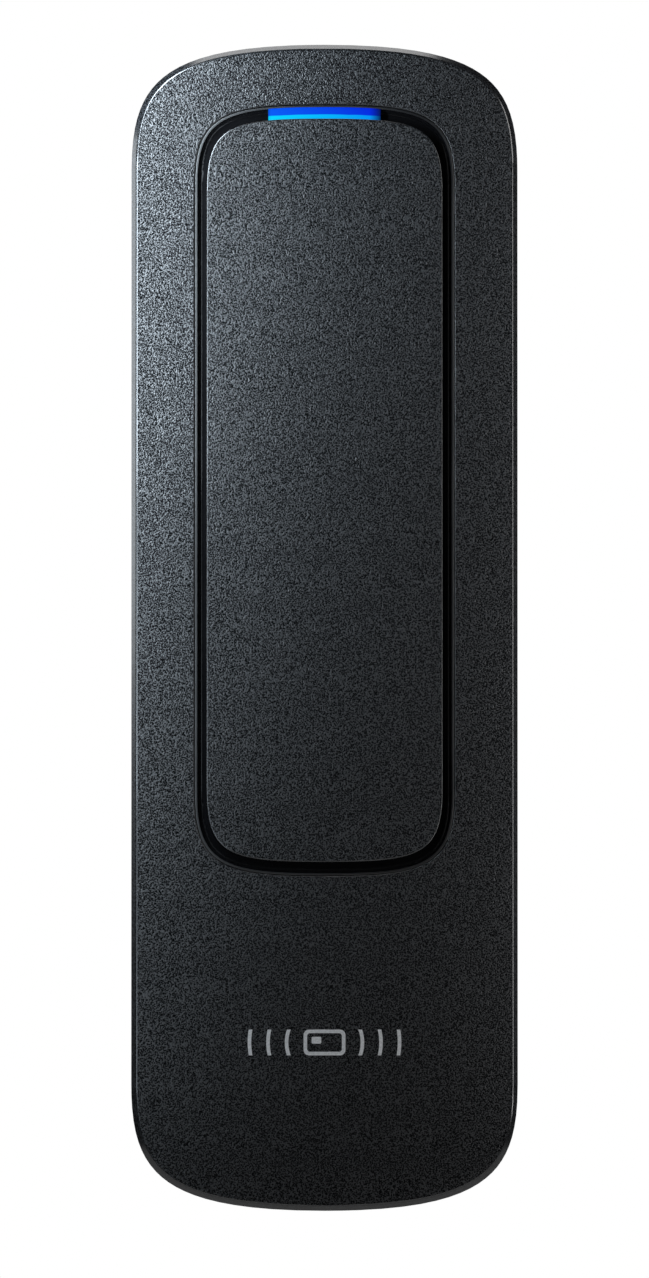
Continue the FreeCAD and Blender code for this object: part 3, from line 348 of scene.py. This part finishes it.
def turned_metal(name, colour, roughness=0.24):
    """The lock screw, its washer and its insert, with tool rings round the screw's upright axis."""
    g = Graph(name, roughness=roughness, metallic=1.0)
    low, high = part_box("lock_screw")
    shift = g.add("ShaderNodeMapping")
    shift.inputs["Location"].default_value = (0.0, -(low.y + high.y) / 2, 0.0)
    g.link(g.place, shift.inputs["Vector"])
    rings = g.add("ShaderNodeTexWave", wave_type="RINGS", rings_direction="Z")
    rings.inputs["Scale"].default_value = 1 / (0.5 * MM)
    rings.inputs["Distortion"].default_value = 0.6
    g.link(shift.outputs["Vector"], rings.inputs["Vector"])
    worn = g.noise(0.7 * MM, detail=4, roughness=0.6)
    g.colour(g.blend(g.remap(worn, 0.35, 0.7), colour, shaded(colour, 0.72)))
    g.drive("Roughness", g.remap(worn, 0.3, 0.7, roughness - 0.06, roughness + 0.14))
    g.bump(rings.outputs["Fac"], 0.004 * MM)
    return g.material


def foil(name, colour):
    """A blank matt-silver label, slightly crinkled."""
    g = Graph(name, roughness=0.42, metallic=0.7)
    fibres = g.noise(0.2 * MM, detail=3, where=g.stretched(0.15, 1, 1))
    crinkle = g.noise(7 * MM, detail=2)
    g.colour(g.blend(g.remap(fibres, 0.3, 0.7), shaded(colour, 0.85), colour))
    g.drive("Roughness", g.remap(fibres, 0.3, 0.7, 0.35, 0.5))
    small = g.bump(fibres, 0.004 * MM)
    g.bump(crinkle, 0.12 * MM, before=small)
    return g.material


def clear_plastic(name, colour):
    """A frosted light pipe or a milky diode package."""
    g = Graph(name, roughness=0.3)
    haze = g.noise(0.8 * MM, detail=4, roughness=0.6)
    g.colour(g.blend(haze, shaded(colour, 0.88), colour))
    g.set("Subsurface Weight", 0.3)
    g.set("Subsurface Scale", 0.8 * MM)
    g.drive("Roughness", g.remap(haze, 0.3, 0.7, 0.2, 0.4))
    g.bump(haze, 0.006 * MM)
    return g.material


# Each takes the slot's name and the record's colour.
MAKE = {
    "cover_plastic": pebbled_plastic,
    "panel_plastic": pebbled_plastic,
    "channel_gloss": gloss_black,
    "status_lens": lit_lens,
    "symbol_ink": symbol_ink,
    "rear_plastic": partial(plain_plastic, roughness=0.5, grain=0.3 * MM, depth=0.03 * MM),
    "bracket_plastic": partial(plain_plastic, roughness=0.48, grain=0.34 * MM, depth=0.045 * MM),
    "plunger_plastic": partial(plain_plastic, roughness=0.32, grain=0.8 * MM, depth=0.006 * MM),
    "white_plastic": partial(plain_plastic, roughness=0.5, grain=0.5 * MM, depth=0.006 * MM),
    "former_plastic": plain_plastic,
    "header_plastic": plain_plastic,
    "switch_body": plain_plastic,
    "membrane": plain_plastic,
    "light_guide": clear_plastic,
    "led_package": clear_plastic,
    "adhesive_foam": rubber,
    "seal_rubber": rubber,
    "circuit_board": circuit_board,
    "ferrite": speckled,
    "chip_epoxy": partial(speckled, roughness=0.5, fleck=0.08 * MM, contrast=1.5),
    "buzzer_plastic": partial(speckled, roughness=0.45, fleck=0.3 * MM, contrast=1.4),
    "enamelled_wire": wound_wire,
    "copper_trace": partial(metal, scratch=0.3 * MM),
    "screw_steel": metal,
    "spring_steel": partial(metal, roughness=0.25, scratch=0.08 * MM, depth=0.003 * MM),
    "capacitor_can": partial(metal, along=(1, 0.05, 1), scratch=0.12 * MM, depth=0.006 * MM),
    "crystal_can": partial(metal, roughness=0.22, along=(1, 1, 0.1), scratch=0.1 * MM),
    "insert_brass": partial(turned_metal, roughness=0.26),
    "lock_screw_steel": turned_metal,
    "blank_foil": foil,
}


def dress_cad_nodes():
    """One material for each slot of the record, on all the nodes that use it."""
    colours = {entry["slot"]: tuple(entry["base_color"][:3]) for entry in frame["record"]["materials"]}
    made = {}
    for part in frame["record"]["subparts"]:
        slot = part["material_slot"]
        if slot not in made:
            made[slot] = MAKE[slot](slot, colours[slot])
        mesh = NODES[part["node"]].data
        mesh.materials.clear()
        mesh.materials.append(made[slot])


# ---------------------------------------------------------------- camera
SENSOR = 36 * MM
LENS = 450 * MM
PICTURE_SHAPE = 1278 / 649  # height over width
RIM_WIDTH = 47.9 * MM
RIM_WIDTH_SHARE = 0.59522  # of the picture's width
RIM_BEHIND_PANEL = 1.0 * MM
CENTRE_ABOVE_AXIS = 0.00939  # of the picture's height


def make_camera():
    """Straight in front and far away, so that the outline shows almost no perspective."""
    camera = bpy.data.objects.new("camera", bpy.data.cameras.new("camera"))
    bpy.context.scene.collection.objects.link(camera)
    bpy.context.scene.camera = camera
    camera.data.sensor_width = SENSOR / MM
    camera.data.lens = LENS / MM
    frame_height = RIM_WIDTH / RIM_WIDTH_SHARE * PICTURE_SHAPE
    distance = frame_height * LENS / SENSOR
    rim_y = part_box("centre_panel")[0].y + RIM_BEHIND_PANEL
    camera.location = (0, rim_y - distance, -CENTRE_ABOVE_AXIS * frame_height)
    camera.rotation_euler = (math.radians(90), 0, 0)
    camera.data.clip_start = 0.05
    camera.data.clip_end = 20


# ---------------------------------------------------------------- lights
WHITE = (1, 1, 1)
COOL = (0.78, 0.9, 1.0)
SLIGHTLY_COOL = (0.9, 0.96, 1.0)
KEY_BOXES = ((0.08, 0.068), (0.04, 0.042), (0.0, 0.0135), (-0.04, 0.0042))  # height, watts
KEY_PLACE = (-0.0335, -0.058)  # x and y, in front of the left edge
KEY_TARGET = (-0.041, -0.022)  # x and y, beyond the left side wall
KEY_RISE = 0.004  # from the boxes up to their targets
FLOOR_DROP = 0.3  # below the middle of the object


def area_light(name, place, target, size, power, colour=WHITE):
    """A rectangle of this width and height in metres, at place and facing target."""
    data = bpy.data.lights.new(name, "AREA")
    data.shape = "RECTANGLE"
    data.size, data.size_y = size
    data.energy = power
    data.color = colour
    light = bpy.data.objects.new(name, data)
    bpy.context.scene.collection.objects.link(light)
    light.location = place
    aim = Vector(target) - Vector(place)
    light.rotation_euler = aim.to_track_quat("-Z", "Y").to_euler()
    light.visible_camera = False


def make_face_lights():
    """Small boxes close to the face's two sides, and far ones for its rim.

    The key is four boxes in front of the left edge, weaker downwards, so the face fades from its
    upper left to its lower right. They graze the left side wall, which stays dark.
    """
    for height, power in KEY_BOXES:
        target = (*KEY_TARGET, height + KEY_RISE)
        area_light("key", (*KEY_PLACE, height), target, (0.012, 0.04), power, COOL)
    area_light("left_strip", (-0.34, -0.02, 0.065), (0, -0.02, 0.065), (0.10, 0.12), 0.14, SLIGHTLY_COOL)
    area_light("top_box", (-0.02, -0.02, 0.36), (-0.02, -0.02, 0.07), (0.20, 0.10), 0.24)
    area_light("right_close", (0.055, -0.047, 0.012), (0.012, -0.025, 0.012), (0.011, 0.15), 0.0265)


def make_fill_lights():
    """Soft light on the back, and a wash that falls only on the floor in front of the object."""
    area_light("floor_wash", (0, -0.50, -0.12), (0, -0.50, -FLOOR_DROP), (1.1, 0.16), 0.7)
    for side in (-1, 1):
        area_light("back_fill", (side * 0.55, 0.60, 0.12), (0, 0, 0), (0.5, 0.5), 4.0)


# ---------------------------------------------------------------- world and floor
AMBIENT = 0.004
FLOOR_HALF = 0.6


def make_world():
    """White where the camera looks past the object, almost black for its light."""
    world = bpy.data.worlds.new("world")
    bpy.context.scene.world = world
    world.use_nodes = True
    tree = world.node_tree
    background = tree.nodes["Background"]
    background.inputs["Color"].default_value = (*WHITE, 1)
    path = tree.nodes.new("ShaderNodeLightPath")
    level = tree.nodes.new("ShaderNodeMapRange")
    level.inputs["To Min"].default_value = AMBIENT
    level.inputs["To Max"].default_value = 1.0
    tree.links.new(path.outputs["Is Camera Ray"], level.inputs["Value"])
    tree.links.new(level.outputs["Result"], background.inputs["Strength"])


def make_floor():
    """A pale table top, well below the object."""
    corners = [(-FLOOR_HALF, -FLOOR_HALF), (FLOOR_HALF, -FLOOR_HALF)]
    corners += [(FLOOR_HALF, FLOOR_HALF), (-FLOOR_HALF, FLOOR_HALF)]
    mesh = bpy.data.meshes.new("floor")
    mesh.from_pydata([(x, y, -FLOOR_DROP) for x, y in corners], [], [(0, 1, 2, 3)])
    floor = bpy.data.objects.new("floor", mesh)
    bpy.context.scene.collection.objects.link(floor)
    g = Graph("floor_paint", roughness=0.9)
    g.colour(g.blend(g.noise(0.2, detail=2), (0.82, 0.82, 0.82), (0.86, 0.86, 0.86)))
    mesh.materials.append(g.material)


dress_cad_nodes()
make_world()
make_face_lights()
make_fill_lights()
make_floor()
make_camera()
bpy.context.scene.view_settings.view_transform = "Standard"
